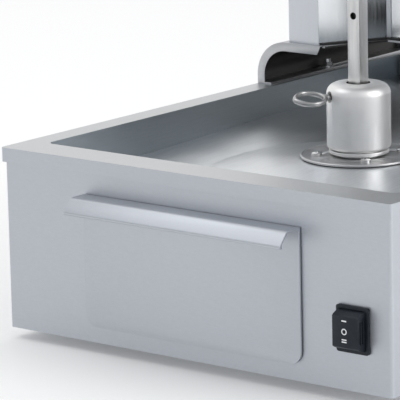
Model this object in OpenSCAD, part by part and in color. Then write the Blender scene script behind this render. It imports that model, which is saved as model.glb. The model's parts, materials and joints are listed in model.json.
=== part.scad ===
// Vertical rotisserie broiler: a shallow cabinet with a drip tray and a grease drawer,
// a motor-driven hub that carries a square spindle, and a heater tower on a sliding gantry.
// Origin: middle of the footprint, on the surface that it stands on. Front is -Y.

/* [Cabinet] */
// Width of the cabinet
base_w = 328; // [320:1:336]
// Depth of the cabinet
base_d = 468; // [460:1:476]
// Height of the cabinet with its tray, without the feet
base_h = 127; // [125:1:130]
// Height of the rubber feet
foot_h = 8; // [5:1:12]
// Thickness of the cabinet's sheet
sheet = 1.2; // [1:0.1:1.5]

/* [Tray] */
// Width of the ledge along each side
ledge_side = 15; // [14:1:18]
// Width of the ledge at the front and the back
ledge_end = 27; // [24:1:30]
// Height of the down-turned hem
hem_h = 10; // [8:1:12]
// How far the tray stands over the cabinet's left side
over_left = 2.6; // [2:0.1:3]
// How far the tray stands over the cabinet's right side
over_right = 1.1; // [1.1:0.1:3]
// Depth of the tray at its front wall
tray_depth = 29; // [26:1:31]
// Rise of the tray floor towards the back, in mm per mm
floor_rise = 0.029; // [0.02:0.001:0.03]

/* [Drawer] */
// Width of the drawer's front plate
drawer_w = 184; // [180:1:188]
// Height of the drawer's front plate
drawer_h = 91.6; // [88:0.2:92]
// Depth of the drawer box
drawer_d = 128; // [100:1:132]

/* [Drive] */
// Distance of the spindle's axis behind the cabinet's front
axis_back = 187; // [180:1:190]
// Diameter of the drive hub
hub_dia = 45; // [44:1:48]
// Height of the drive hub
hub_h = 46.2; // [44:0.2:48]
// Diameter of the flange under the hub
flange_dia = 83; // [80:1:86]
// Side of the square spindle
spindle_side = 10; // [9:0.5:10]
// Length of the spindle
spindle_len = 590; // [560:5:600]
// Direction of the clamp screw, seen from above
clamp_angle = 242; // [180:1:300]
// Radius of the two meat plates
plate_r = 72; // [60:1:76]

/* [Gantry and tower] */
// Distance of the gantry's front edge behind the cabinet's front
gantry_front = 284; // [284:1:288]
// Depth of the gantry
gantry_d = 175; // [170:1:175]
// Height of the gantry's deck over the ledges
deck_h = 33; // [32:1:36]
// Outer radius of the gantry's bends
gantry_r = 26; // [20:1:28]
// Width of the heater tower
tower_w = 279; // [272:1:284]
// Depth of the heater tower
tower_d = 99; // [95:1:105]
// Height of the heater tower without its cap
tower_h = 600; // [580:10:640]
// Width of each column's front face
column_w = 27.8; // [26:0.1:30]
// How far the side reflectors slant inwards
splay_x = 27; // [24:1:28]
// Depth of the reflectors behind the column faces
splay_y = 48; // [44:1:49]
// Number of heating zones
zones = 3; // [2:1:3]

/* [Hidden] */
$fn = 48;

// Cabinet levels and planes
x_side = base_w / 2;
y_front = -base_d / 2;
y_back = base_d / 2;
z_rim = foot_h + base_h;
tray_x0 = -x_side - over_left;
tray_x1 = x_side + over_right;
well_x = x_side - ledge_side;
well_y = base_d / 2 - ledge_end;
well_r = 6;
hem_t = 0.9;
front_proud = 1;
function floor_z(y) = z_rim - tray_depth + floor_rise * (y + well_y);

// Drive
y_axis = y_front + axis_back;
pad_r = 42.5;
pad_run = 50;
pad_slope = 4.6 / pad_run;
z_pad = z_rim - 20.4;
gasket_t = 0.4;
z_flange = z_pad + gasket_t;
flange_t = 1.9;
boss_top = z_flange + 2.6;
z_hub = boss_top + 3.4;
z_hub_top = z_hub + hub_h;
hub_r = hub_dia / 2;
socket_r = 8.5;
socket_floor = z_hub + 18;
socket_half = spindle_side / 2 + 0.25;
shaft_r = 8;
bush_r = 11;
screw_circle = 30;
z_clamp = z_hub_top - 8.5;
clamp_hole_r = 4;
clamp_stem_r = 2.2;
clamp_tip = 7.2;
eye_r = 9.7;
eye_wire_r = 1.9;
eye_reach = 37;
eye_tilt = -10;

// Drawer and switch
drawer_x = 0.5;
drawer_z = foot_h + 11.5;
front_t = 1.5;
front_gap = 0.7;
drawer_corner = 9;
box_w = 164;
box_h = 60;
box_z = drawer_z + 7;
box_t = 0.8;
switch_x = 134.2;
switch_z = foot_h + 41.5;
switch_w = 25.5;
switch_h = 31;
rocker_w = 20.4;
rocker_r = 12.9;
rocker_axis_out = 1.7;
rocker_proud = 9.8;

// Gantry and tower
y_gantry = y_front + gantry_front;
z_deck = z_rim + deck_h;
gantry_t = 1.5;
lip = 6.5;
foot_w = 12.6;
stud_x = (tray_x0 + foot_w / 2 + gantry_t);
stud_y = y_gantry + 76;
slot_r = 3.2;
slot_front = 8;
slot_back = 44;
skin = 1;
notch_front = 106.8;
notch_back = 82.4;
y_notch = y_gantry + 50.2;
y_tower = y_gantry + 4;
z_tower = z_deck + 1.6;
z_tower_top = z_tower + tower_h;
tower_x = tower_w / 2;
open_front = tower_x - column_w;
open_back = open_front - splay_x;
y_reflector = y_tower + splay_y;
y_tower_back = y_tower + tower_d;
mitre = tan(atan2(splay_y, splay_x) / 2);
zone_pitch = 180;
zone_first = z_tower + 120;
run_count = 4;
run_pitch = 30;
run_len = 110;
element_r = 4;
y_element = y_reflector - 13;
y_guard = y_reflector - 25;
knob_y = y_reflector + 26;
knob_z = [z_tower + 130, z_tower + 200];
hole_first = 214.6;
hole_pitch = 50;
plate_level = hole_first + hole_pitch + 2.6;
upper_level = plate_level + 330;
collar_h = 20;
thumb_z = 13;

// ---- shared shapes ----
// Rectangle with round corners, from corner to corner
module round_rect(x0, x1, y0, y1, r) {
    translate([x0 + r, y0]) square([x1 - x0 - 2 * r, y1 - y0]);
    translate([x0, y0 + r]) square([x1 - x0, y1 - y0 - 2 * r]);
    for (x = [x0 + r, x1 - r], y = [y0 + r, y1 - r]) translate([x, y]) circle(r = r);
}

// Round-cornered slab between two levels
module slab(x0, x1, y0, y1, z0, z1, r) {
    translate([0, 0, z0]) linear_extrude(z1 - z0) round_rect(x0, x1, y0, y1, r);
}

// Box between two corners
module block(x0, x1, y0, y1, z0, z1) {
    translate([x0, y0, z0]) cube([x1 - x0, y1 - y0, z1 - z0]);
}

// Outline drawn in Y and Z, run along X
module along_x(x0, x1) {
    translate([x0, 0, 0]) rotate([90, 0, 90]) linear_extrude(x1 - x0) children();
}

// Outline drawn in X and Z, run along Y
module along_y(y0, y1) {
    translate([0, y1, 0]) rotate([90, 0, 0]) linear_extrude(y1 - y0) children();
}

// Straight stretch of bent sheet, seen from above, with a round end
module strip(p, q, t) {
    run = q - p;
    translate(p) rotate(atan2(run[1], run[0])) translate([0, -t / 2]) square([norm(run), t]);
    translate(p) circle(d = t, $fn = 24);
    translate(q) circle(d = t, $fn = 24);
}

// Sheet bent along a row of points
module bent_sheet(points, t) {
    for (i = [1 : len(points) - 1]) strip(points[i - 1], points[i], t);
}

// Pan-head screw that points down from its head's seat
module pan_screw(head_r, head_h, shank_r, length) {
    difference() {
        union() {
            rotate_extrude() intersection() {
                translate([0, head_h - 2.2 * head_r]) circle(r = 2.2 * head_r);
                square([head_r, head_h]);
            }
            translate([0, 0, -length]) cylinder(r = shank_r, h = length + 0.1);
        }
        for (a = [0, 90]) rotate(a)
            translate([-head_r * 0.6, -0.35, head_h * 0.45]) cube([head_r * 1.2, 0.7, head_h]);
    }
}

// ---- cabinet ----
module base_shell() color("silver") difference() {
    slab(-x_side, x_side, y_front, y_back, foot_h, z_rim - sheet - 0.2, 2.5);
    slab(-x_side + sheet, x_side - sheet, y_front + sheet, y_back - sheet,
         foot_h - 1, z_rim, 1.3);
    along_y(y_front - 1, y_front + sheet + 1)
        round_rect(drawer_x - box_w / 2 - 2, drawer_x + box_w / 2 + 2,
                   box_z - 2, drawer_z + drawer_h - 4, 5);
    along_y(y_front - 1, y_front + sheet + 1) translate([switch_x, switch_z])
        square([22, 28], center = true);
    for (s = [-1, 1], i = [0 : 7]) translate([s * x_side, 90 + 14 * i, foot_h + 60])
        rotate([0, 90, 0]) linear_extrude(4, center = true) round_rect(-22, 22, -2, 2, 1.9);
    translate([gland_x, y_back, gland_z]) rotate([90, 0, 0])
        cylinder(r = 8.1, h = 6, center = true);
    for (s = [-1, 1], y = side_screw_y) translate([s * x_side, y, foot_h + 6])
        rotate([0, 90, 0]) cylinder(r = 2.1, h = 6, center = true);
}

side_screw_y = [-200, 0, 200];
gland_x = -100;
gland_z = foot_h + 40;

module bottom_pan() color("silver") difference() {
    slab(-x_side + 1.4, x_side - 1.4, y_front + 1.4, y_back - 1.4, foot_h, foot_h + 13, 1.2);
    slab(-x_side + 2.6, x_side - 2.6, y_front + 2.6, y_back - 2.6,
         foot_h + sheet, foot_h + 20, 1);
    for (i = [-4 : 4]) translate([0, y_axis + 12 * i, foot_h - 1])
        linear_extrude(4) round_rect(-35, 35, -2.5, 2.5, 2.4);
    for (s = [-1, 1], y = side_screw_y) translate([s * x_side, y, foot_h + 6])
        rotate([0, 90, 0]) cylinder(r = 2.1, h = 8, center = true);
}

module rubber_feet() color("dimgray") for (x = [-112, 112], y = [-176, 176])
    translate([x, y, 0]) rotate_extrude() polygon([[0, 0], [11, 0], [12, 1], [13, foot_h],
                                                  [0, foot_h]]);

module side_screws() color("silver") for (s = [-1, 1], y = side_screw_y)
    translate([s * x_side, y, foot_h + 6]) rotate([0, s * 90, 0]) pan_screw(3.4, 1.5, 2, 5);

// ---- tray ----
module tray_well(d) intersection() {
    slab(-well_x - d, well_x + d, -well_y - d, well_y + d, foot_h, z_rim + 1, well_r + d);
    along_x(-well_x - d - 1, well_x + d + 1)
        polygon([[-well_y - 9, floor_z(-well_y - 9) - d], [well_y + 9, floor_z(well_y + 9) - d],
                 [well_y + 9, z_rim + (d > 0 ? 0 : 1)], [-well_y - 9, z_rim + (d > 0 ? 0 : 1)]]);
}

// Shallow cone pressed up out of the floor round the hub, lowered by d
module floor_boss(d) translate([0, y_axis, z_pad - d - 9 - (d > 0 ? 1 : 0)]) {
    cylinder(r1 = pad_r + (9 + (d > 0 ? 1 : 0)) / pad_slope, r2 = pad_r,
             h = 9 + (d > 0 ? 1 : 0), $fn = 128);
}

module drip_tray() color("lightgray") difference() {
    union() {
        difference() {
            union() {
                tray_well(sheet);
                slab(tray_x0, tray_x1, y_front - front_proud, y_back + front_proud,
                     z_rim - sheet, z_rim, 2);
            }
            tray_well(0);
        }
        difference() {
            slab(tray_x0, tray_x1, y_front - front_proud, y_back + front_proud,
                 z_rim - hem_h, z_rim, 2);
            slab(tray_x0 + hem_t, tray_x1 - hem_t, y_front - front_proud + hem_t,
                 y_back + front_proud - hem_t, z_rim - hem_h - 1, z_rim - sheet, 1.1);
            slab(tray_x0 + 4, tray_x1 - 4, y_front + 4, y_back - 4, z_rim - 5, z_rim + 1, 1);
        }
        floor_boss(0);
    }
    floor_boss(sheet);
    translate([0, y_axis, z_pad - 5]) cylinder(r = 14.5, h = 6);
    screw_places() translate([0, 0, z_pad - 5]) cylinder(r = 2.2, h = 6);
    translate([0, drain_y, z_rim - 50]) cylinder(r = drain_r, h = 40);
    for (x = [-stud_x - 1.5, stud_x]) translate([x, stud_y, z_rim - 5])
        cylinder(r = 2.6, h = 6);
}

// Thin seal under the flange
module flange_gasket() color([0.08, 0.08, 0.08]) difference() {
    translate([0, y_axis, z_pad]) cylinder(r = flange_dia / 2 - 1, h = gasket_t, $fn = 96);
    translate([0, y_axis, z_pad - 1]) cylinder(r = 14.5, h = 7);
    screw_places() translate([0, 0, z_pad - 1]) cylinder(r = 2.2, h = 7);
}

drain_y = y_front + 60;
drain_r = 9;

module drain_spout() color("silver") difference() {
    union() {
        translate([0, drain_y, floor_z(drain_y) - 16]) cylinder(r = drain_r - 0.1, h = 15.4);
        translate([0, drain_y, floor_z(drain_y) - 4.5]) cylinder(r = drain_r + 5, h = 2);
    }
    translate([0, drain_y, floor_z(drain_y) - 20]) cylinder(r = drain_r - 1.1, h = 25);
}

module ledge_studs() color("silver") for (x = [-stud_x - 1.5, stud_x])
    translate([x, stud_y, z_rim]) {
        translate([0, 0, -sheet - 3]) cylinder(r = 3.4, h = 3);
        translate([0, 0, -sheet - 1]) cylinder(r = 2.4, h = sheet + 1 + 8);
    }

// ---- drawer ----
module drawer_front() color("silver") {
    y_face = y_front - front_gap;
    z_top = drawer_z + drawer_h;
    bend_in = 3;
    bend_out = bend_in + front_t;
    lip_drop = 50;
    lip_len = 9;
    y_bend = y_face - 12.3;
    difference() {
        along_y(y_face - front_t, y_face) union() {
            round_rect(drawer_x - drawer_w / 2, drawer_x + drawer_w / 2,
                       drawer_z, z_top - 12, drawer_corner);
            translate([drawer_x - drawer_w / 2, drawer_z + drawer_corner])
                square([drawer_w, drawer_h - drawer_corner]);
        }
    }
    along_x(drawer_x - drawer_w / 2, drawer_x + drawer_w / 2) {
        translate([y_bend, z_top - front_t]) square([y_face - y_bend, front_t]);
        translate([y_bend, z_top - bend_out]) {
            difference() {
                circle(r = bend_out);
                circle(r = bend_in);
                translate([0, -10]) square(20);
                translate([-20, -20]) square([40, 20]);
                rotate(90 + lip_drop) translate([0, 0]) square(20);
            }
            rotate(90 + lip_drop) translate([bend_in, 0]) square([front_t, lip_len]);
            rotate(90 + lip_drop) translate([bend_in, lip_len]) circle(r = 1.3, $fn = 24);
        }
    }
}

module drawer_box() color("silver") difference() {
    slab(drawer_x - box_w / 2, drawer_x + box_w / 2, y_front - front_gap, y_front + drawer_d,
         box_z, box_z + box_h, 3);
    slab(drawer_x - box_w / 2 + box_t, drawer_x + box_w / 2 - box_t,
         y_front - front_gap + box_t, y_front + drawer_d - box_t,
         box_z + box_t, box_z + box_h + 1, 2.2);
}

module drawer_runners() color("silver") for (s = [-1, 1]) translate([drawer_x, 0, 0])
    mirror([s < 0 ? 1 : 0, 0, 0]) {
        block(box_w / 2 + 0.8, box_w / 2 + 2, y_front + 3, y_front + drawer_d,
              foot_h + sheet, box_z + 40);
        block(box_w / 2 - 12, box_w / 2 + 1, y_front + 3, y_front + drawer_d,
              box_z - 1.3, box_z - 0.1);
    }

// ---- switch ----
module switch_body() color([0.12, 0.13, 0.15]) translate([switch_x, y_front, switch_z])
    difference() {
        union() {
            along_y(-2.2, 0) round_rect(-switch_w / 2, switch_w / 2, -switch_h / 2,
                                        switch_h / 2, 1.6);
            block(-10.8, 10.8, -0.5, 22, -13.8, 13.8);
            for (z = [-9, 0, 9]) block(-3, 3, 21, 30, z - 0.4, z + 0.4);
        }
        block(-rocker_w / 2 - 0.4, rocker_w / 2 + 0.4, -3, 16, -13.2, 13.2);
    }

module switch_rocker() color([0.1, 0.11, 0.13]) translate([switch_x, y_front, switch_z])
    difference() {
        translate([0, -rocker_axis_out, 0]) rotate([0, 90, 0])
            cylinder(r = rocker_r, h = rocker_w, center = true, $fn = 96);
        block(-20, 20, -30, -rocker_proud, -20, 20);
        block(-20, 20, 6, 30, -20, 20);
        for (x = [rocker_w / 2, -rocker_w / 2], y = [-7.8, -5.4])
            block(x - 0.9, x + 0.9, y, y + 1.1, -7.6, 7.6);
    }

module switch_marks() color("white") translate([switch_x, y_front - rocker_proud, switch_z])
    along_y(-0.15, 0) translate([-0.7, 0]) {
        translate([-1.9, 6.8]) square([3.8, 0.9]);
        difference() {
            translate([0, 0.2]) circle(r = 2.1, $fn = 40);
            translate([0, 0.2]) circle(r = 1.4, $fn = 40);
        }
        for (z = [-5.5, -7]) translate([-1.9, z]) square([3.8, 0.8]);
    }

// ---- drive ----
module screw_places() for (a = [45 : 90 : 315])
    translate([screw_circle * cos(a), y_axis + screw_circle * sin(a), 0]) children();

module hub_flange() color("gainsboro") difference() {
    union() {
        translate([0, y_axis, 0]) rotate_extrude($fn = 96) {
            translate([0, z_flange]) square([flange_dia / 2 - 1, flange_t - 0.2]);
            translate([flange_dia / 2 - 1, z_flange + 1]) circle(r = 1, $fn = 32);
            translate([0, z_flange]) square([17, boss_top - z_flange]);
        }
        translate([0, y_axis, z_pad - 28]) cylinder(r = 14, h = 29);
    }
    translate([0, y_axis, z_pad - 30]) cylinder(r = bush_r, h = 50);
    screw_places() translate([0, 0, z_pad - 2]) cylinder(r = 2.2, h = 10);
}

module flange_screws() color("gainsboro") screw_places()
    translate([0, 0, z_flange + flange_t - 0.2]) rotate(20) pan_screw(3.7, 2.6, 2, 12);

module bearing_bush() color("peru") difference() {
    translate([0, y_axis, z_pad - 27]) cylinder(r = bush_r, h = boss_top - z_pad + 27 - 0.8);
    translate([0, y_axis, z_pad - 30]) cylinder(r = shaft_r + 0.06, h = 50);
}

module drive_shaft() color("silver")
    translate([0, y_axis, gear_z0 + 14]) cylinder(r = shaft_r, h = z_hub + 15 - gear_z0 - 14);

module neck_washer() color("gainsboro") translate([0, y_axis, 0]) difference() {
    translate([0, 0, boss_top + 0.4]) cylinder(r = 21, h = 2.3, $fn = 96);
    translate([0, 0, boss_top]) cylinder(r = shaft_r + 0.05, h = 4);
}

module drive_hub() color("gainsboro") difference() {
    translate([0, y_axis, 0]) rotate_extrude($fn = 96) {
        hub_profile();
        translate([0, boss_top + 2.7]) square([18.5, 2]);
    }
    translate([0, y_axis, socket_floor + 9]) cylinder(r = socket_r, h = hub_h);
    translate([-socket_half, y_axis - socket_half, socket_floor])
        cube([2 * socket_half, 2 * socket_half, 10]);
    translate([0, y_axis, boss_top]) cylinder(r = shaft_r + 0.05, h = z_hub + 15.2 - boss_top);
    translate([0, y_axis, z_clamp]) rotate(clamp_angle) rotate([0, 90, 0]) {
        cylinder(r = clamp_stem_r + 0.1, h = hub_r + 2);
        translate([0, 0, hub_r - 7]) cylinder(r = clamp_hole_r, h = 9);
    }
}

// Half of the hub's section, with a round shoulder and a small round lower edge
module hub_profile() {
    shoulder = 7.5;
    toe = 3;
    translate([0, z_hub]) square([hub_r - toe, hub_h - shoulder]);
    translate([0, z_hub + toe]) square([hub_r, hub_h - shoulder - toe]);
    translate([0, z_hub]) square([hub_r - shoulder, hub_h]);
    translate([hub_r - toe, z_hub + toe]) circle(r = toe);
    translate([hub_r - shoulder, z_hub_top - shoulder]) circle(r = shoulder, $fn = 64);
}

module eye_screw() color("silver") translate([0, y_axis, z_clamp]) rotate(clamp_angle) {
    rotate([0, 90, 0]) translate([0, 0, clamp_tip])
        cylinder(r = clamp_stem_r, h = eye_reach - eye_r - clamp_tip);
    translate([eye_reach, 0, 0]) rotate([eye_tilt, 0, 0]) rotate_extrude($fn = 64)
        translate([eye_r, 0]) circle(r = eye_wire_r, $fn = 24);
}

module spindle() color("lightgray") difference() {
    union() {
        translate([-spindle_side / 2, y_axis - spindle_side / 2, socket_floor + 0.1])
            cube([spindle_side, spindle_side, spindle_len]);
        translate([0, y_axis, socket_floor + 0.1 + spindle_len]) rotate(45)
            cylinder(r1 = spindle_side / 2 * sqrt(2), r2 = 0.8, h = 14, $fn = 4);
    }
    for (i = [0 : 9]) translate([0, y_axis, hole_first + hole_pitch * i])
        rotate([90, 0, 0]) cylinder(r = 2.5, h = 30, center = true, $fn = 32);
}

module plate_pin() color("silver") translate([0, y_axis, hole_first + hole_pitch]) {
    rotate([90, 0, 0]) cylinder(r = 2.4, h = 34, center = true, $fn = 32);
    translate([0, -17, 0]) sphere(r = 2.5, $fn = 32);
}

// Round meat plate with a square collar hole and a ring of tines
module meat_plate() difference() {
    union() {
        cylinder(r = plate_r, h = 2, $fn = 96);
        cylinder(r = 13, h = collar_h);
        rotate_extrude($fn = 96) translate([plate_r - 1.2, 1.6]) circle(r = 1.6, $fn = 24);
    }
    translate([0, 0, 5]) cube([spindle_side + 0.7, spindle_side + 0.7, 60], center = true);
    for (a = [30 : 60 : 330]) rotate(a) translate([54, 0, -1]) cylinder(r = 5, h = 5);
}

// Six tines that stand on the underside (1) or the upper side (0) of a plate
module tines(under) for (a = [0 : 60 : 300]) rotate(a)
    translate([42, 0, under ? 0 : 2]) mirror([0, 0, under])
        cylinder(r1 = 2.4, r2 = 0.6, h = 23, $fn = 24);

module lower_plate() color("silver") translate([0, y_axis, plate_level]) meat_plate();

module lower_tines() color("silver") translate([0, y_axis, plate_level]) tines(0);

module upper_tines() color("silver") translate([0, y_axis, upper_level]) tines(1);

module upper_plate() color("silver") difference() {
    translate([0, y_axis, upper_level]) meat_plate();
    translate([0, y_axis, upper_level + thumb_z]) rotate([90, 0, 0]) cylinder(r = 2.1, h = 40);
}

module thumb_screw() color("silver") translate([0, y_axis - 5.6, upper_level + thumb_z])
    rotate([90, 0, 0]) {
        cylinder(r = 2, h = 12);
        translate([0, 0, 12]) cylinder(r = 8, h = 7, $fn = 64);
    }

gear_z0 = foot_h + 34;
gear_z1 = gear_z0 + 32;

module gearbox() color("gray") difference() {
    slab(-40, 40, y_axis - 32, y_axis + 44, gear_z0, gear_z1, 6);
    translate([0, y_axis, gear_z0 + 12]) cylinder(r = shaft_r + 0.3, h = 40);
}

module motor() color("darkgray") translate([0, y_axis + 44, gear_z0 + 16]) rotate([-90, 0, 0]) {
    cylinder(r = 29, h = 62, $fn = 64);
    cylinder(r = 32, h = 5, $fn = 64);
    translate([0, 0, 62]) cylinder(r = 12, h = 6);
}

module motor_plate() color("silver") difference() {
    slab(-52, 52, y_axis - 44, y_axis + 42, gear_z1, gear_z1 + 2, 5);
    translate([0, y_axis, gear_z1 - 1]) cylinder(r = 16, h = 5);
    screw_places() translate([0, 0, gear_z1 - 1]) cylinder(r = 2.2, h = 5);
}

module motor_posts() color("silver") screw_places() difference() {
    translate([0, 0, gear_z1 + 2]) cylinder(r = 4.6, h = z_pad - sheet - gear_z1 - 2);
    translate([0, 0, z_pad - 16]) cylinder(r = 2.1, h = 20);
}

module terminal_block() color("ivory") difference() {
    block(-130, -90, 150, 176, foot_h + sheet, foot_h + 20);
    for (i = [0 : 3]) translate([-125 + 10 * i, 163, foot_h + 12]) cylinder(r = 2.4, h = 20);
}

// Cable gland that points along +Y
module gland(body_r) rotate([-90, 0, 0]) difference() {
    union() {
        translate([0, 0, -6]) cylinder(r = 8, h = 8);
        cylinder(r = body_r, h = 6, $fn = 6);
        translate([0, 0, 6]) cylinder(r1 = 9.5, r2 = 7.5, h = 12);
        translate([0, 0, -sheet - 5]) cylinder(r = 11, h = 5, $fn = 6);
    }
    translate([0, 0, -10]) cylinder(r = 4, h = 40);
}

module cable_gland() color([0.15, 0.15, 0.15])
    translate([gland_x, y_back, gland_z]) gland(11);

// ---- gantry ----
module gantry_outline(d) intersection() {
    translate([-200, z_rim - (d > 0 ? 5 : 0)]) square([400, 100]);
    full_outline(d);
}

module full_outline(d) {
    x0 = tray_x0 + d;
    x1 = tray_x1 - d;
    r = gantry_r - d;
    z_bend = z_deck - gantry_r;
    translate([x0, z_rim - (d > 0 ? 5 : 0)]) square([x1 - x0, z_bend - z_rim + (d > 0 ? 5 : 0)]);
    translate([x0 + r, z_rim]) square([x1 - x0 - 2 * r, z_deck - d - z_rim]);
    for (x = [x0 + r, x1 - r]) translate([x, z_bend]) circle(r = r, $fn = 96);
}

// Cut-out of the deck, in line with the splayed reflectors
module deck_notch(z0, z1) translate([0, 0, z0]) linear_extrude(z1 - z0)
    polygon([[-notch_front, y_gantry - 5], [-notch_front, y_gantry],
             [-notch_back, y_notch], [notch_back, y_notch],
             [notch_front, y_gantry], [notch_front, y_gantry - 5]]);

module gantry() color("silver") difference() {
    y_end = y_gantry + gantry_d;
    union() {
        along_y(y_gantry, y_end) difference() {
            gantry_outline(0);
            gantry_outline(gantry_t);
        }
        for (y = [y_gantry, y_end - 1.2]) along_y(y, y + 1.2) difference() {
            gantry_outline(0);
            gantry_outline(lip);
        }
        for (x = [tray_x0, tray_x1 - foot_w]) block(x, x + foot_w, y_gantry, y_end,
                                                   z_rim, z_rim + gantry_t);
    }
    deck_notch(z_deck - 3, z_deck + 1);
    along_y(y_gantry - 1, y_gantry + 3) polygon([
        [-notch_front - 4.2, z_deck - lip - 1], [notch_front + 4.2, z_deck - lip - 1],
        [notch_front, z_deck + 1], [-notch_front, z_deck + 1]]);
    for (x = [-stud_x - 1.5, stud_x]) translate([x, 0, z_rim - 1]) linear_extrude(4)
        round_rect(-slot_r, slot_r, stud_y - slot_front - slot_r, stud_y + slot_back + slot_r,
                   slot_r - 0.01);
    for (x = [-120, 120], y = bolt_y) translate([x, y, z_deck - 3]) cylinder(r = 3.2, h = 6);
}

bolt_y = [y_tower + 30, y_tower + 84];

// Low flanged nut
module clamp_nut() difference() {
    union() {
        cylinder(r = 4.8, h = 1.2);
        cylinder(r = 3.9, h = 4.2, $fn = 6);
    }
    translate([0, 0, -1]) cylinder(r = 2.5, h = 20);
}

module clamp_nut_left() color("gainsboro")
    translate([stud_x, stud_y, z_rim + gantry_t + 0.05]) clamp_nut();

module clamp_nut_right() color("gainsboro")
    translate([-stud_x - 1.5, stud_y, z_rim + gantry_t + 0.05]) clamp_nut();

// ---- tower ----
// Outline of the tower seen from above, grown outwards by d
function plan(d) = [
    [-tower_x - d, y_tower_back + 1.6 + d], [-tower_x - d, y_tower - d],
    [-open_front + mitre * d, y_tower - d], [-open_back + mitre * d, y_reflector - d],
    [open_back - mitre * d, y_reflector - d], [open_front - mitre * d, y_tower - d],
    [tower_x + d, y_tower - d], [tower_x + d, y_tower_back + 1.6 + d]];

// Centre line of the left column's sheet
column_path = [
    [-tower_x + skin / 2, y_tower_back], [-tower_x + skin / 2, y_tower + skin / 2],
    [-open_front - mitre * skin / 2, y_tower + skin / 2],
    [-open_back - mitre * skin / 2, y_reflector + skin / 2],
    [-open_back + 3, y_reflector + skin / 2]];

module cover_holes() for (s = [-1, 1], z = cover_screw_z)
    translate([s * tower_x, y_tower_back - 7, z]) rotate([0, 90, 0])
        cylinder(r = 1.9, h = 8, center = true, $fn = 24);

cover_screw_z = [z_tower + 40, z_tower + 300, z_tower + 560];

// Bent column whose outer side and front reach down to the deck
module column() {
    translate([0, 0, z_tower]) linear_extrude(tower_h) bent_sheet(column_path, skin);
    translate([0, 0, z_deck + 0.05]) linear_extrude(z_tower - z_deck)
        bent_sheet([column_path[0], column_path[1], column_path[2]], skin);
}

module left_column() color("silver") difference() {
    column();
    cover_holes();
}

module right_column() color("silver") difference() {
    mirror([1, 0, 0]) column();
    cover_holes();
    for (z = knob_z) translate([tower_x, knob_y, z]) rotate([0, 90, 0]) {
        cylinder(r = 3.5, h = 6, center = true);
        translate([-lamp_up, 0, 0]) cylinder(r = 4.1, h = 6, center = true);
    }
}

lamp_up = 35;

module back_reflector() color("lightgray")
    block(-open_back - 10, open_back + 10, y_reflector + skin + 0.1,
          y_reflector + 2 * skin + 0.1, z_tower, z_tower_top - 0.5);

// Outline of the seal, inset by d; it follows the column faces and the slanting sides
function seal(d) =
    let (lean = splay_x / splay_y, side_at = tower_x - 2.5 - d, back_at = y_tower_back - 2.5 - d,
         face_at = y_tower + 1.2 + d, wall_at = y_reflector - 1.5 + d,
         shift = (d - 1.5) * norm([1, lean]),
         near = open_front - (face_at - y_tower) * lean + shift,
         far = open_front - (wall_at - y_tower) * lean + shift)
    [[-side_at, back_at], [-side_at, face_at], [-near, face_at], [-far, wall_at],
     [far, wall_at], [near, face_at], [side_at, face_at], [side_at, back_at]];

module tower_gasket() color([0.1, 0.1, 0.1]) translate([0, 0, z_deck])
    linear_extrude(z_tower - z_deck) difference() {
        polygon(seal(0));
        polygon(seal(3));
    }

module tower_floor() color("silver") difference() {
    translate([0, 0, z_tower + 0.2]) linear_extrude(1.2) polygon([
        [-tower_x + 1.2, y_tower_back - 0.4], [-tower_x + 1.2, y_tower + 1.3],
        [-open_front - 2, y_tower + 1.3], [-open_back - 16, y_reflector - 24],
        [-open_back - 16, y_reflector + 3], [open_back + 16, y_reflector + 3],
        [open_back + 16, y_reflector - 24], [open_front + 2, y_tower + 1.3],
        [tower_x - 1.2, y_tower + 1.3], [tower_x - 1.2, y_tower_back - 0.4]]);
    for (x = [-120, 120], y = bolt_y) translate([x, y, z_tower - 3]) cylinder(r = 3.2, h = 9);
}

module tower_bolts() color("silver") for (x = [-120, 120], y = bolt_y)
    translate([x, y, 0]) {
        translate([0, 0, z_deck - gantry_t - 4]) cylinder(r = 5, h = 4, $fn = 6);
        translate([0, 0, z_deck - gantry_t - 1]) cylinder(r = 2.9, h = 12);
        translate([0, 0, z_tower + 1.5]) cylinder(r = 5, h = 4, $fn = 6);
    }

module insulation() color("khaki")
    block(-open_back - 8, open_back + 8, y_reflector + 2.2, y_reflector + 14,
          z_tower + 20, z_tower_top - 20);

module rear_cover() color("silver") difference() {
    union() {
        block(-tower_x, tower_x, y_tower_back + 0.6, y_tower_back + 1.6,
              z_tower, z_tower_top - 0.5);
        for (s = [-1, 1]) block(s * (tower_x - 1.7) - 0.6, s * (tower_x - 1.7) + 0.6,
                                y_tower_back - 14, y_tower_back + 0.7,
                                z_tower + 3, z_tower_top - 4);
    }
    cover_holes();
    for (k = [0, 1], i = [0 : 8]) translate([0, y_tower_back, z_tower + 330 + 120 * k + 11 * i])
        rotate([90, 0, 0]) linear_extrude(6, center = true) round_rect(-60, 60, -2.2, 2.2, 2.1);
    translate([inlet_x, y_tower_back, inlet_z]) rotate([90, 0, 0])
        cylinder(r = 8.1, h = 6, center = true);
}

inlet_x = 80;
inlet_z = z_tower + 50;

module tower_inlet() color([0.15, 0.15, 0.15])
    translate([inlet_x, y_tower_back + 1.6, inlet_z]) gland(11);

module cover_screws() color("silver") for (s = [-1, 1], z = cover_screw_z)
    translate([s * tower_x, y_tower_back - 7, z]) rotate([0, s * 90, 0])
        pan_screw(3.2, 1.8, 1.8, 5);

cap_h = 12;

module top_cap() color("silver") difference() {
    translate([0, 0, z_tower_top - cap_h]) linear_extrude(cap_h + 1.4) polygon(plan(1.3));
    translate([0, 0, z_tower_top - cap_h - 1]) linear_extrude(cap_h + 1.1) polygon(plan(0.2));
    for (s = [-1, 1]) translate([s * handle_half, handle_y, z_tower_top - 1])
        cylinder(r = 3.2, h = 5);
}

handle_half = 55;
handle_y = y_tower_back - 22;
handle_rise = 34;

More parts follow.
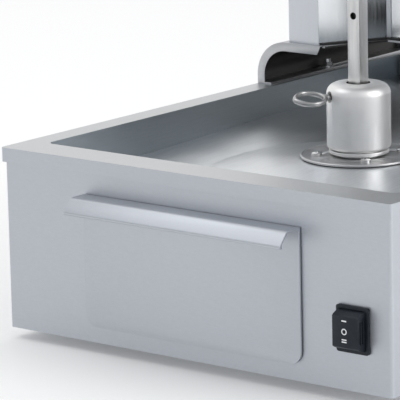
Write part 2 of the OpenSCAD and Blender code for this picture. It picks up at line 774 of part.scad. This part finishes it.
module tower_handle() color([0.15, 0.15, 0.16]) translate([0, handle_y, z_tower_top + 1.4]) {
    bend = 14;
    r = 5.5;
    for (s = [-1, 1]) translate([s * handle_half, 0, 0]) {
        cylinder(r = r, h = handle_rise - bend);
        cylinder(r = 9, h = 2.5);
        translate([0, 0, -6]) cylinder(r = 3, h = 7);
        translate([-s * bend, 0, handle_rise - bend]) rotate([90, 0, 0])
            rotate([0, s > 0 ? 0 : 180, 0]) rotate_extrude(angle = 90)
                translate([bend, 0]) circle(r = r);
    }
    translate([-handle_half + bend, 0, handle_rise]) rotate([0, 90, 0])
        cylinder(r = r, h = 2 * (handle_half - bend));
}

// Serpentine tube: level runs joined by half rings
module element() {
    for (i = [0 : run_count - 1]) translate([-run_len / 2, 0, run_pitch * i])
        rotate([0, 90, 0]) cylinder(r = element_r, h = run_len, $fn = 32);
    for (i = [0 : run_count - 2]) translate([(i % 2 == 0 ? 1 : -1) * run_len / 2, 0,
                                             run_pitch * (i + 0.5)])
        rotate([90, 0, 0]) rotate(i % 2 == 0 ? -90 : 90) rotate_extrude(angle = 180)
            translate([run_pitch / 2, 0]) circle(r = element_r, $fn = 32);
    for (i = [0, run_count - 1]) translate([-run_len / 2, 0, run_pitch * i]) {
        sphere(r = element_r, $fn = 32);
        rotate([-90, 0, 0]) cylinder(r = element_r, h = 22, $fn = 32);
    }
}

module zone_places() for (k = [0 : zones - 1])
    translate([0, 0, zone_first + zone_pitch * k]) children();

module heating_elements() color([0.35, 0.2, 0.15]) difference() {
    zone_places() translate([0, y_element, 0]) element();
    block(-200, 200, y_reflector + skin + 0.05, y_reflector + 60, z_tower, z_tower_top);
}

module element_holders() color("ivory") zone_places() {
    for (z = [0, run_pitch * (run_count - 1)])
        translate([-run_len / 2, y_reflector - 5.9, z]) rotate([-90, 0, 0]) difference() {
            cylinder(r = 9, h = 6.9);
            translate([0, 0, -1]) cylinder(r = element_r + 0.1, h = 12);
        }
    difference() {
        block(20, 28, y_element - 7, y_reflector + skin, -7, run_pitch * (run_count - 1) + 7);
        for (i = [0 : run_count - 1]) translate([10, y_element, run_pitch * i])
            rotate([0, 90, 0]) cylinder(r = element_r + 0.2, h = 30);
    }
}

guard_x = [-76, 0, 76];
guard_low = zone_first - 24;
guard_high = zone_first + zone_pitch * (zones - 1) + run_pitch * (run_count - 1) + 24;

module element_guard() color("silver") {
    for (x = guard_x) translate([x, y_guard + 2.4, guard_low])
        cylinder(r = 1.8, h = guard_high - guard_low, $fn = 24);
    for (z = [guard_low + 2 : 20 : guard_high]) translate([-86, y_guard, z]) rotate([0, 90, 0])
        cylinder(r = 1.3, h = 172, $fn = 24);
}

module guard_posts() color("silver") for (x = guard_x, z = [guard_low + 8, guard_high - 8])
    translate([x, y_guard + 4.25, z]) rotate([-90, 0, 0])
        cylinder(r = 1.8, h = y_reflector + skin - y_guard - 4.25, $fn = 24);

module regulators() color("dimgray") for (z = knob_z)
    difference() {
        block(tower_x - 30, tower_x - 2.6, knob_y - 17, knob_y + 9, z - 18, z + 18);
        translate([tower_x - 14, knob_y, z]) rotate([0, 90, 0]) cylinder(r = 3.4, h = 30);
    }

module heat_knob(z) translate([tower_x, knob_y, z]) rotate([0, 90, 0]) {
    translate([0, 0, -12]) cylinder(r = 3, h = 16);
    translate([0, 0, 1]) cylinder(r = 18, h = 3, $fn = 64);
    translate([0, 0, 3]) cylinder(r1 = 16, r2 = 14.5, h = 13, $fn = 64);
    translate([-17, -1.2, 4]) cube([16, 2.4, 12.8]);
}

module knob_low() color([0.12, 0.12, 0.13]) heat_knob(knob_z[0]);
module knob_high() color([0.12, 0.12, 0.13]) heat_knob(knob_z[1]);

module indicator_lamps() color("orangered") for (z = knob_z)
    translate([tower_x, knob_y, z + lamp_up]) rotate([0, 90, 0]) {
        translate([0, 0, -8]) cylinder(r = 4, h = 9);
        cylinder(r = 6, h = 1.5);
        translate([0, 0, 1.4]) cylinder(r1 = 4.6, r2 = 3.4, h = 3.5);
    }

base_shell();
bottom_pan();
rubber_feet();
drip_tray();
drain_spout();
drawer_runners();
drawer_front();
drawer_box();
switch_body();
switch_rocker();
switch_marks();
flange_gasket();
hub_flange();
flange_screws();
bearing_bush();
gearbox();
motor();
motor_plate();
motor_posts();
terminal_block();
cable_gland();
ledge_studs();
side_screws();
drive_shaft();
neck_washer();
drive_hub();
eye_screw();
spindle();
plate_pin();
lower_plate();
lower_tines();
upper_plate();
upper_tines();
thumb_screw();
gantry();
clamp_nut_left();
clamp_nut_right();
tower_gasket();
tower_floor();
left_column();
right_column();
back_reflector();
insulation();
rear_cover();
top_cap();
tower_handle();
heating_elements();
element_holders();
element_guard();
guard_posts();
regulators();
knob_low();
knob_high();
indicator_lamps();
tower_inlet();
tower_bolts();
cover_screws();
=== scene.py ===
import json
import math

import bmesh
import bpy
from mathutils import Matrix, Vector


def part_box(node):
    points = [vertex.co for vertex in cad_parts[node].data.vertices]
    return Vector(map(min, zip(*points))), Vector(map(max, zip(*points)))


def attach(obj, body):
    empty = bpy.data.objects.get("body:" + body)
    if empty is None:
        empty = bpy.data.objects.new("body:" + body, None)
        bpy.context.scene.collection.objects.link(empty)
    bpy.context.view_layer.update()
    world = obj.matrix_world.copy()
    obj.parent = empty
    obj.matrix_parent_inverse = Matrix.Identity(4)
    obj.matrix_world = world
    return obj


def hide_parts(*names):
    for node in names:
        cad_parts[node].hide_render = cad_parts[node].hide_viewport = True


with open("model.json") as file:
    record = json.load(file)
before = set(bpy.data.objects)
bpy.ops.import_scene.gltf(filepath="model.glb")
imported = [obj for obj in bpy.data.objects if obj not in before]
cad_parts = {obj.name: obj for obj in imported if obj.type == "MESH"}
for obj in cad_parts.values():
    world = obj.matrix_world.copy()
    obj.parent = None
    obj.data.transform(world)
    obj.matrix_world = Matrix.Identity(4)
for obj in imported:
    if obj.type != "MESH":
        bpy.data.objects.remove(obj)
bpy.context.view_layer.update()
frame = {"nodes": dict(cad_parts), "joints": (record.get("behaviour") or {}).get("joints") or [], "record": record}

scene = bpy.context.scene
scene.view_settings.view_transform = "Standard"
MM = 0.001

# ---------------------------------------------------------------- camera
# Fitted to the straight edges of the cabinet and the tray.
YAW, PITCH, ROLL = 0.6904, 0.2159, -0.0235    # radians
CAMERA_AT = (1.4259, -1.9493, 0.6068)         # metres
LENS, SENSOR = 312.06, 36.0                   # millimetres
CLIP_END = 60.0                               # metres, past the floor's far edge

ahead = Vector((-math.sin(YAW) * math.cos(PITCH), math.cos(YAW) * math.cos(PITCH),
                -math.sin(PITCH)))
side = Vector((math.cos(YAW), math.sin(YAW), 0.0))
over = side.cross(ahead)
cam_x = side * math.cos(ROLL) + over * math.sin(ROLL)
cam_y = over * math.cos(ROLL) - side * math.sin(ROLL)
camera = bpy.data.objects.new("camera", bpy.data.cameras.new("camera"))
scene.collection.objects.link(camera)
camera.data.sensor_width = SENSOR
camera.data.lens = LENS
camera.data.clip_end = CLIP_END
turn = Matrix((cam_x, cam_y, -ahead)).transposed()
camera.matrix_world = Matrix.Translation(CAMERA_AT) @ turn.to_4x4()
scene.camera = camera

# ---------------------------------------------------------------- node helpers
MIX_A, MIX_B, MIX_RESULT = 6, 7, 2    # the colour sockets of a Mix node
FINE, COARSE = 0.0001, 0.0002         # bump distances, metres


class Tree:
    """A material or world node tree with short calls for the nodes used here."""

    def __init__(self, tree):
        self.tree = tree
        tree.nodes.clear()

    def node(self, kind, inputs=None, **props):
        n = self.tree.nodes.new(kind)
        for key, value in props.items():
            setattr(n, key, value)
        for key, value in (inputs or {}).items():
            self.set(n.inputs[key], value)
        return n

    def set(self, socket, value):
        if isinstance(value, bpy.types.NodeSocket):
            self.tree.links.new(value, socket)
        else:
            socket.default_value = value

    def math(self, op, a, b):
        return self.node("ShaderNodeMath", {0: a, 1: b}, operation=op).outputs[0]

    def noise(self, vector, scale, detail, rough):
        n = self.node("ShaderNodeTexNoise", {"Vector": vector, "Scale": scale, "Detail": detail,
                                             "Roughness": rough})
        return n.outputs["Fac"]

    def remap(self, value, lo, hi, a, b):
        n = self.node("ShaderNodeMapRange", {"Value": value, "From Min": lo, "From Max": hi,
                                             "To Min": a, "To Max": b})
        return n.outputs[0]

    def blend(self, fac, a, b):
        n = self.node("ShaderNodeMix", {"Factor": fac, MIX_A: a, MIX_B: b}, data_type="RGBA")
        return n.outputs[MIX_RESULT]

    def place(self):
        return self.node("ShaderNodeTexCoord").outputs["Object"]

    def stretched(self, scale):
        return self.node("ShaderNodeMapping", {"Vector": self.place(), "Scale": scale}).outputs[0]

    def bump(self, height, strength, distance):
        n = self.node("ShaderNodeBump", {"Height": height, "Strength": strength,
                                         "Distance": distance})
        return n.outputs[0]


def rgb(r, g, b):
    return (r, g, b, 1.0)


def material(name):
    m = bpy.data.materials.new(name)
    m.use_nodes = True
    t = Tree(m.node_tree)
    bsdf = t.node("ShaderNodeBsdfPrincipled")
    out = t.node("ShaderNodeOutputMaterial")
    t.tree.links.new(bsdf.outputs[0], out.inputs[0])
    return m, t, bsdf.inputs


def sheet_steel(name, grain, tone, rough, mottle=0.05, streak=0.04, bump=0.05, scratch=0.06):
    """Rolled stainless sheet: fine streaks, soft mottling and faint scratches.

    grain scales the streaks along X, Y and Z, so they run along its smallest value.
    """
    m, t, b = material(name)
    fine = t.noise(t.stretched(grain), 900.0, 4.0, 0.6)
    soft = t.noise(t.stretched((1, 1, 1)), 9.0, 3.0, 0.55)
    scuff = t.noise(t.stretched(tuple(2.2 * g for g in grain)), 160.0, 2.0, 0.5)
    scuff = t.remap(scuff, 0.66, 0.78, 0.0, 1.0)
    dark = rgb(*(c * (1 - streak - mottle) for c in tone))
    light = rgb(*(min(c * (1 + streak), 1) for c in tone))
    mix = t.math("ADD", t.math("MULTIPLY", fine, 0.55), t.math("MULTIPLY", soft, 0.45))
    t.set(b["Base Color"], t.blend(t.remap(mix, 0.35, 0.65, 0.0, 1.0), dark, light))
    b["Metallic"].default_value = 1.0
    wear = t.math("ADD", t.remap(soft, 0.3, 0.7, rough - 0.04, rough + 0.04),
                  t.math("MULTIPLY", scuff, -scratch))
    t.set(b["Roughness"], t.math("ADD", wear, t.remap(fine, 0.3, 0.7, -0.03, 0.03)))
    t.set(b["Normal"], t.bump(fine, bump, COARSE))
    return m


def turned_steel(name, centre, tone, rough):
    """Machined or polished steel with fine turning rings about an upright axis."""
    m, t, b = material(name)
    place = t.place()
    rel = t.node("ShaderNodeVectorMath", {0: place, 1: centre}, operation="SUBTRACT").outputs[0]
    part = t.node("ShaderNodeSeparateXYZ", {0: rel}).outputs
    flat = t.node("ShaderNodeCombineXYZ", {0: part[0], 1: part[1], 2: 0.0}).outputs[0]
    reach = t.node("ShaderNodeVectorMath", {0: flat}, operation="LENGTH").outputs["Value"]
    rings = t.node("ShaderNodeCombineXYZ", {0: reach, 1: part[2], 2: 0.0}).outputs[0]
    fine = t.noise(rings, 1800.0, 3.0, 0.6)
    soft = t.noise(place, 45.0, 3.0, 0.5)
    t.set(b["Base Color"], t.blend(t.remap(soft, 0.35, 0.65, 0.0, 1.0),
                                   rgb(*(c * 0.92 for c in tone)), rgb(*tone)))
    b["Metallic"].default_value = 1.0
    t.set(b["Roughness"], t.math("ADD", t.remap(fine, 0.3, 0.7, rough - 0.04, rough + 0.05),
                                 t.remap(soft, 0.3, 0.7, -0.02, 0.04)))
    t.set(b["Normal"], t.bump(fine, 0.08, FINE))
    return m


def bright_steel(name, tone, rough, tint=None):
    """Bright drawn, plated or cast metal with smudges and tiny pits; tint colours the smudges."""
    m, t, b = material(name)
    place = t.place()
    soft = t.noise(place, 60.0, 4.0, 0.6)
    pits = t.noise(place, 1400.0, 2.0, 0.5)
    low = rgb(*(c * 0.86 for c in tone)) if tint is None else rgb(*tint)
    t.set(b["Base Color"], t.blend(t.remap(soft, 0.32, 0.68, 0.0, 1.0), low, rgb(*tone)))
    b["Metallic"].default_value = 1.0
    t.set(b["Roughness"], t.remap(soft, 0.3, 0.7, rough + 0.07, rough - 0.03))
    t.set(b["Normal"], t.bump(pits, 0.06, FINE))
    return m


def moulded(name, tone, rough, grain=900.0, depth=0.12, worn=0.15):
    """Moulded plastic or rubber: spark-eroded grain, dull and shiny patches, dusty tone shift."""
    m, t, b = material(name)
    place = t.place()
    soft = t.noise(place, 70.0, 3.0, 0.55)
    pebble = t.noise(place, grain, 2.0, 0.5)
    high = rgb(*(min(c * (1 + worn) + 0.01, 1) for c in tone))
    t.set(b["Base Color"], t.blend(t.remap(soft, 0.35, 0.7, 0.0, 1.0), rgb(*tone), high))
    t.set(b["Roughness"], t.math("ADD", t.remap(soft, 0.3, 0.7, rough - 0.06, rough + 0.06),
                                 t.remap(pebble, 0.3, 0.7, -0.03, 0.03)))
    t.set(b["Normal"], t.bump(pebble, depth, COARSE))
    return m


HUB_AXIS = (0.0, -0.047, 0.0)    # a point on the axis that the hub and its flange turn about
M = {
    "panel": sheet_steel("panel_steel", (0.3, 1, 1), (0.54, 0.565, 0.605), 0.46, streak=0.02,
                         bump=0.03),
    "tray": sheet_steel("tray_steel", (1, 0.05, 1), (0.76, 0.78, 0.80), 0.34, mottle=0.10,
                        bump=0.015, scratch=0.02),
    # painted shade: a darker copy of the tray steel for the tray's upright walls
    "wall": sheet_steel("tray_wall_steel", (1, 0.05, 1), (0.44, 0.485, 0.52), 0.32, bump=0.012,
                        scratch=0.02),
    # painted shade: a darker copy of the tray steel for the tray's rim, also a little rougher
    "ledge": sheet_steel("tray_ledge_painted_shade", (1, 0.2, 1), (0.57, 0.58, 0.59), 0.40, bump=0.02),
    "gantry": sheet_steel("gantry_steel", (0.05, 1, 1), (0.52, 0.53, 0.545), 0.36),
    # painted shade: near-black steel laid on recesses and on faces turned away from the light
    "painted_shade": sheet_steel("gantry_inside_steel", (0.05, 1, 1), (0.085, 0.082, 0.08), 0.42,
                          mottle=0.2),
    "tower": sheet_steel("tower_steel", (1, 1, 0.05), (0.64, 0.665, 0.70), 0.40, mottle=0.02,
                         streak=0.012),
    "mirror": sheet_steel("reflector_steel", (1, 1, 0.05), (0.76, 0.78, 0.80), 0.20, bump=0.03),
    "splay": sheet_steel("splay_steel", (1, 1, 0.05), (0.72, 0.74, 0.76), 0.15, streak=0.03,
                         bump=0.02),
    "hub": turned_steel("hub_steel", HUB_AXIS, (0.91, 0.905, 0.90), 0.40),
    "flange": turned_steel("flange_steel", HUB_AXIS, (0.56, 0.56, 0.565), 0.32),
    "bright": bright_steel("bright_steel", (0.78, 0.78, 0.78), 0.20),
    "cast": bright_steel("cast_steel", (0.46, 0.46, 0.46), 0.33),
    "drawn": sheet_steel("drawn_steel", (1, 1, 0.04), (0.84, 0.835, 0.825), 0.42),
    "bronze": bright_steel("bronze_bush", (0.62, 0.43, 0.24), 0.35),
    "gearbox": bright_steel("gearbox_casting", (0.48, 0.49, 0.50), 0.55),
    "sheath": bright_steel("element_sheath", (0.26, 0.20, 0.17), 0.45, tint=(0.14, 0.12, 0.13)),
    "rubber": moulded("black_rubber_grain", (0.018, 0.018, 0.019), 0.62),
    "switch": moulded("switch_plastic", (0.006, 0.010, 0.016), 0.45, depth=0.05),
    "plastic": moulded("black_plastic_grain", (0.024, 0.025, 0.028), 0.42),
    "motor": moulded("motor_paint", (0.05, 0.055, 0.06), 0.40),
    "ink": moulded("white_ink_print", (0.80, 0.81, 0.82), 0.5, worn=0.05),
    "ivory": moulded("ivory_moulding", (0.72, 0.67, 0.52), 0.45),
    "ceramic": moulded("ceramic_glaze", (0.74, 0.71, 0.62), 0.25, depth=0.04),
    "fibre": moulded("fibre_board_felt", (0.56, 0.50, 0.34), 0.85, grain=500.0, depth=0.5),
    "amber": moulded("amber_lens_mould", (0.75, 0.20, 0.03), 0.18, depth=0.03),
}
for look, socket, value in (("switch", "Specular IOR Level", 0.3), ("hub", "Metallic", 0.78),
                            ("amber", "Transmission Weight", 0.35)):
    M[look].node_tree.nodes["Principled BSDF"].inputs[socket].default_value = value

LOOK = {
    "base_shell": "panel", "bottom_pan": "panel", "rubber_feet": "rubber", "drip_tray": "tray",
    "flange_gasket": "rubber", "drain_spout": "bright", "drawer_runners": "panel",
    "drawer_front": "panel", "drawer_box": "panel", "switch_body": "switch",
    "switch_rocker": "switch", "switch_marks": "ink", "hub_flange": "flange",
    "flange_screws": "bright", "bearing_bush": "bronze", "gearbox": "gearbox", "motor": "motor",
    "motor_plate": "panel", "motor_posts": "bright", "terminal_block": "ivory",
    "cable_gland": "plastic", "ledge_studs": "bright", "side_screws": "bright",
    "drive_shaft": "hub", "neck_washer": "hub", "drive_hub": "hub", "eye_screw": "cast",
    "spindle": "drawn", "plate_pin": "bright", "lower_plate": "flange", "lower_tines": "bright",
    "upper_plate": "flange", "upper_tines": "bright", "guard_posts": "bright",
    "thumb_screw": "bright", "gantry": "gantry", "clamp_nut_left": "bright",
    "clamp_nut_right": "bright", "tower_gasket": "rubber", "tower_floor": "tower",
    "left_column": "tower", "right_column": "tower", "back_reflector": "mirror",
    "insulation": "fibre", "rear_cover": "tower", "top_cap": "tower", "tower_handle": "plastic",
    "heating_elements": "sheath", "element_holders": "ceramic", "element_guard": "bright",
    "regulators": "plastic", "knob_low": "plastic", "knob_high": "plastic",
    "indicator_lamps": "amber", "tower_inlet": "plastic", "tower_bolts": "bright",
    "cover_screws": "bright",
}
BODY = {n: b for b, ns in frame["record"]["behaviour"]["bodies"].items() for n in ns}

for name, look in LOOK.items():
    mesh = frame["nodes"][name].data
    mesh.materials.clear()
    mesh.materials.append(M[look])


WELD = 0.02 * MM
COPLANAR = math.radians(0.6)    # faces that turn less than this are one face
SHARP = math.radians(38.0)      # edges that turn more than this are rounded


def softened(node, width, flat):
    """A copy of a CAD node with small rounded edges, shown in its place; width is in mm."""
    source = frame["nodes"][node]
    mesh = source.data.copy()
    bm = bmesh.new()
    bm.from_mesh(mesh)
    bmesh.ops.remove_doubles(bm, verts=bm.verts, dist=WELD)
    bmesh.ops.dissolve_limit(bm, angle_limit=COPLANAR, verts=bm.verts, edges=bm.edges)
    bm.to_mesh(mesh)
    bm.free()
    piece = bpy.data.objects.new(node + "_soft", mesh)
    scene.collection.objects.link(piece)
    mesh.polygons.foreach_set("use_smooth", [not flat] * len(mesh.polygons))
    bevel = piece.modifiers.new("edge", "BEVEL")
    bevel.width = width * MM
    bevel.segments = 2
    bevel.limit_method = "ANGLE"
    bevel.angle_limit = SHARP
    bevel.harden_normals = not flat
    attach(piece, BODY[node])
    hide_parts(node)
    return piece


# Width of the rounding, in mm.
EDGES = {
    "base_shell": 0.5, "drip_tray": 0.5, "drawer_front": 0.6, "gantry": 0.9, "left_column": 0.35,
    "right_column": 0.35, "top_cap": 0.4, "drive_hub": 0.4, "hub_flange": 0.4, "spindle": 0.5,
    "switch_body": 0.5, "switch_rocker": 0.5, "rear_cover": 0.4, "neck_washer": 0.3,
}
# Large folded sheets are shaded flat, because smooth shading leaves streaks on their wide faces.
FLAT_SHEETS = ("base_shell", "drip_tray", "rear_cover", "left_column", "right_column", "top_cap")
soft = {name: softened(name, width, name in FLAT_SHEETS) for name, width in EDGES.items()}


def dress(node, look, wanted):
    """Give the faces of a softened piece that pass the test wanted(face) another material: a different finish, or
    painted shade.
    """
    mesh = soft[node].data
    mesh.materials.append(M[look])
    slot = len(mesh.materials) - 1
    for f in mesh.polygons:
        if wanted(f):
            f.material_index = slot


UP = 0.9             # a normal this far along an axis faces that way
UPRIGHT = 0.5        # a face whose normal rises less than this is a wall

# The slanting sides of the recess are polished to throw heat at the meat.
for name in ("left_column", "right_column"):
    dress(name, "splay", lambda f: abs(f.normal.x) > 0.6 and f.normal.y < -0.3)

# The tray: ledges with a rougher finish and a darker tone of painted shade, a hem like the cabinet's panels, and
# side walls darkened with painted shade.
tray_low, tray_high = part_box("drip_tray")
LEDGE_BAND = 3 * MM
HEM_REACH = 2.5 * MM


def on_ledge(f):
    return f.normal.z > UP and f.center.z > tray_high.z - LEDGE_BAND


def on_hem(f):
    near = min(f.center.x - tray_low.x, tray_high.x - f.center.x,
               f.center.y - tray_low.y, tray_high.y - f.center.y)
    return abs(f.normal.z) < UPRIGHT and near < HEM_REACH


dress("drip_tray", "ledge", on_ledge)
dress("drip_tray", "wall", lambda f: abs(f.normal.z) < UPRIGHT and not on_hem(f))
dress("drip_tray", "panel", on_hem)

# The mouth of the hub's socket and the spindle's cross holes get painted shade: a dark, dull material inside them.
hub_low, hub_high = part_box("drive_hub")
axis_y = (hub_low.y + hub_high.y) / 2
bar_low, bar_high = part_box("spindle")
MOUTH_R = 9 * MM
MOUTH_DEEP = 0.2 * MM      # below the hub's top
HOLE_DEEP = 1 * MM         # below the spindle's faces and above its foot
POINT_LONG = 40 * MM       # the spindle's pointed top is left bright
bar_in = (bar_high.x - bar_low.x) / 2 - HOLE_DEEP


def from_axis(f):
    return math.hypot(f.center.x, f.center.y - axis_y)


dress("drive_hub", "painted_shade",
      lambda f: from_axis(f) < MOUTH_R and f.center.z < hub_high.z - MOUTH_DEEP)
dress("spindle", "painted_shade", lambda f: from_axis(f) < bar_in and abs(f.normal.y) < 0.2
      and bar_low.z + HOLE_DEEP < f.center.z < bar_high.z - POINT_LONG)

# Painted shade darkens the inside of the gantry: the faces that look down or towards its
# middle, above its feet.
gantry_low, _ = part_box("gantry")
FOOT_BAND = 3 * MM
INWARD = -0.002      # metres: a normal's X times the X of its face
dress("gantry", "painted_shade", lambda f: (f.normal.z < -0.2 or f.normal.x * f.center.x < INWARD)
      and f.center.z > gantry_low.z + FOOT_BAND)

# ---------------------------------------------------------------- eye screw
clamp = [j for j in frame["joints"] if j["name"] == "clamp_screw_turn"][0]
CLAMP_WAY, CLAMP_AT = Vector(clamp["axis"]), Vector(clamp["pos_m"])
EYE_OUT = 37 * MM          # hub axis to the middle of the eye
EYE_LONG = 11.0 * MM       # half the eye's length, along the screw
EYE_WIDE = 9.6 * MM        # half its width
EYE_TILT = math.radians(-14.0)
BAND = (1.15 * MM, 1.9 * MM)   # half sizes of the forged band: in the eye's plane, across it
SHANK_R = 2.15 * MM
SHANK_FROM = 7.4 * MM      # hub axis to the shank's inner end
RINGS, SIDES = 64, 14      # steps round the eye, and round its band


def tube(bm, centres, frames, halves, closed):
    """Sweep an ellipse along a row of points; frames holds its two unit directions."""
    rows = []
    for c, (p, q), (a, b) in zip(centres, frames, halves):
        rows.append([bm.verts.new(c + p * a * math.cos(2 * math.pi * k / SIDES)
                                  + q * b * math.sin(2 * math.pi * k / SIDES))
                     for k in range(SIDES)])
    count = len(rows)
    for i in range(count if closed else count - 1):
        one, two = rows[i], rows[(i + 1) % count]
        for k in range(SIDES):
            n = (k + 1) % SIDES
            bm.faces.new((one[k], one[n], two[n], two[k]))
    if not closed:
        bm.faces.new(rows[0][::-1])
        bm.faces.new(rows[-1])


def eye_screw():
    """Forged eye, a little pointed at both ends, on a round shank that runs into the hub."""
    out = CLAMP_WAY.normalized()
    level = Vector((0, 0, 1)).cross(out).normalized()
    across = level * math.cos(EYE_TILT) + Vector((0, 0, 1)) * math.sin(EYE_TILT)
    normal = out.cross(across)
    bm = bmesh.new()
    middle = CLAMP_AT + out * EYE_OUT
    spots = []
    for i in range(RINGS):
        a = 2 * math.pi * i / RINGS
        swell = abs(math.sin(a)) ** 1.25 * math.copysign(1, math.sin(a))
        spots.append(middle + out * EYE_LONG * math.cos(a) + across * EYE_WIDE * swell)
    frames, halves = [], []
    for i in range(RINGS):
        along = (spots[(i + 1) % RINGS] - spots[i - 1]).normalized()
        frames.append((along.cross(normal), normal))
        tip = abs(math.cos(2 * math.pi * i / RINGS)) ** 6
        halves.append((BAND[0] * (1 + 0.7 * tip), BAND[1] * (1 + 0.12 * tip)))
    tube(bm, spots, frames, halves, True)
    start, neck, end = SHANK_FROM, EYE_OUT - EYE_LONG - 6 * MM, EYE_OUT - EYE_LONG + 0.5 * MM
    stations = [start, start + 0.6 * MM, neck, neck + 2 * MM, neck + 4 * MM, end]
    radii = [0.6, 1.0, 1.0, 1.04, 1.12, 0.95]
    tube(bm, [CLAMP_AT + out * u for u in stations], [(across, normal)] * len(stations),
         [(SHANK_R * r, SHANK_R * r) for r in radii], False)
    bmesh.ops.recalc_face_normals(bm, faces=bm.faces)
    mesh = bpy.data.meshes.new("eye_screw_forged")
    bm.to_mesh(mesh)
    bm.free()
    for f in mesh.polygons:
        f.use_smooth = True
    mesh.materials.append(M["cast"])
    piece = bpy.data.objects.new("eye_screw_forged", mesh)
    scene.collection.objects.link(piece)
    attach(piece, BODY["eye_screw"])
    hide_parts("eye_screw")


eye_screw()

# ---------------------------------------------------------------- light and floor
# The world is white to the back of the machine (+Y) and greyer in front of it (-Y).
world = bpy.data.worlds.new("studio")
scene.world = world
world.use_nodes = True
w = Tree(world.node_tree)
way = w.node("ShaderNodeTexCoord").outputs["Generated"]
parts = w.node("ShaderNodeSeparateXYZ", {0: way}).outputs
front = w.remap(parts[1], -0.75, 0.15, 0.0, 1.0)
shade = w.blend(front, rgb(0.55, 0.565, 0.59), rgb(1.03, 1.03, 1.03))
back = w.node("ShaderNodeBackground", {"Color": shade, "Strength": 1.0})
out = w.node("ShaderNodeOutputWorld")
w.tree.links.new(back.outputs[0], out.inputs[0])

FLOOR_HALF = 6.0    # metres
bm = bmesh.new()
bmesh.ops.create_grid(bm, x_segments=8, y_segments=8, size=FLOOR_HALF)
floor_mesh = bpy.data.meshes.new("floor")
bm.to_mesh(floor_mesh)
bm.free()
floor = bpy.data.objects.new("floor", floor_mesh)
scene.collection.objects.link(floor)
fm, ft, fb = material("pale_floor")
cloud = ft.noise(ft.place(), 0.6, 2.0, 0.5)
ft.set(fb["Base Color"], ft.blend(cloud, rgb(0.80, 0.80, 0.80), rgb(0.84, 0.84, 0.84)))
fb["Roughness"].default_value = 0.7
fb["Emission Color"].default_value = rgb(1.0, 1.0, 1.0)
fb["Emission Strength"].default_value = 0.14
floor_mesh.materials.append(fm)


def area_light(name, at, target, size, power):
    light = bpy.data.lights.new(name, "AREA")
    light.shape = "RECTANGLE"
    light.size, light.size_y = size
    light.energy = power
    o = bpy.data.objects.new(name, light)
    scene.collection.objects.link(o)
    o.location = at
    o.rotation_mode = "QUATERNION"
    o.rotation_quaternion = (Vector(target) - Vector(at)).to_track_quat("-Z", "Y")


area_light("key", (-1.2, -1.0, 2.2), (0, 0, 0.1), (1.6, 1.6), 10)
area_light("side", (2.4, 0.4, 1.2), (0, 0, 0.2), (1.2, 1.6), 20)
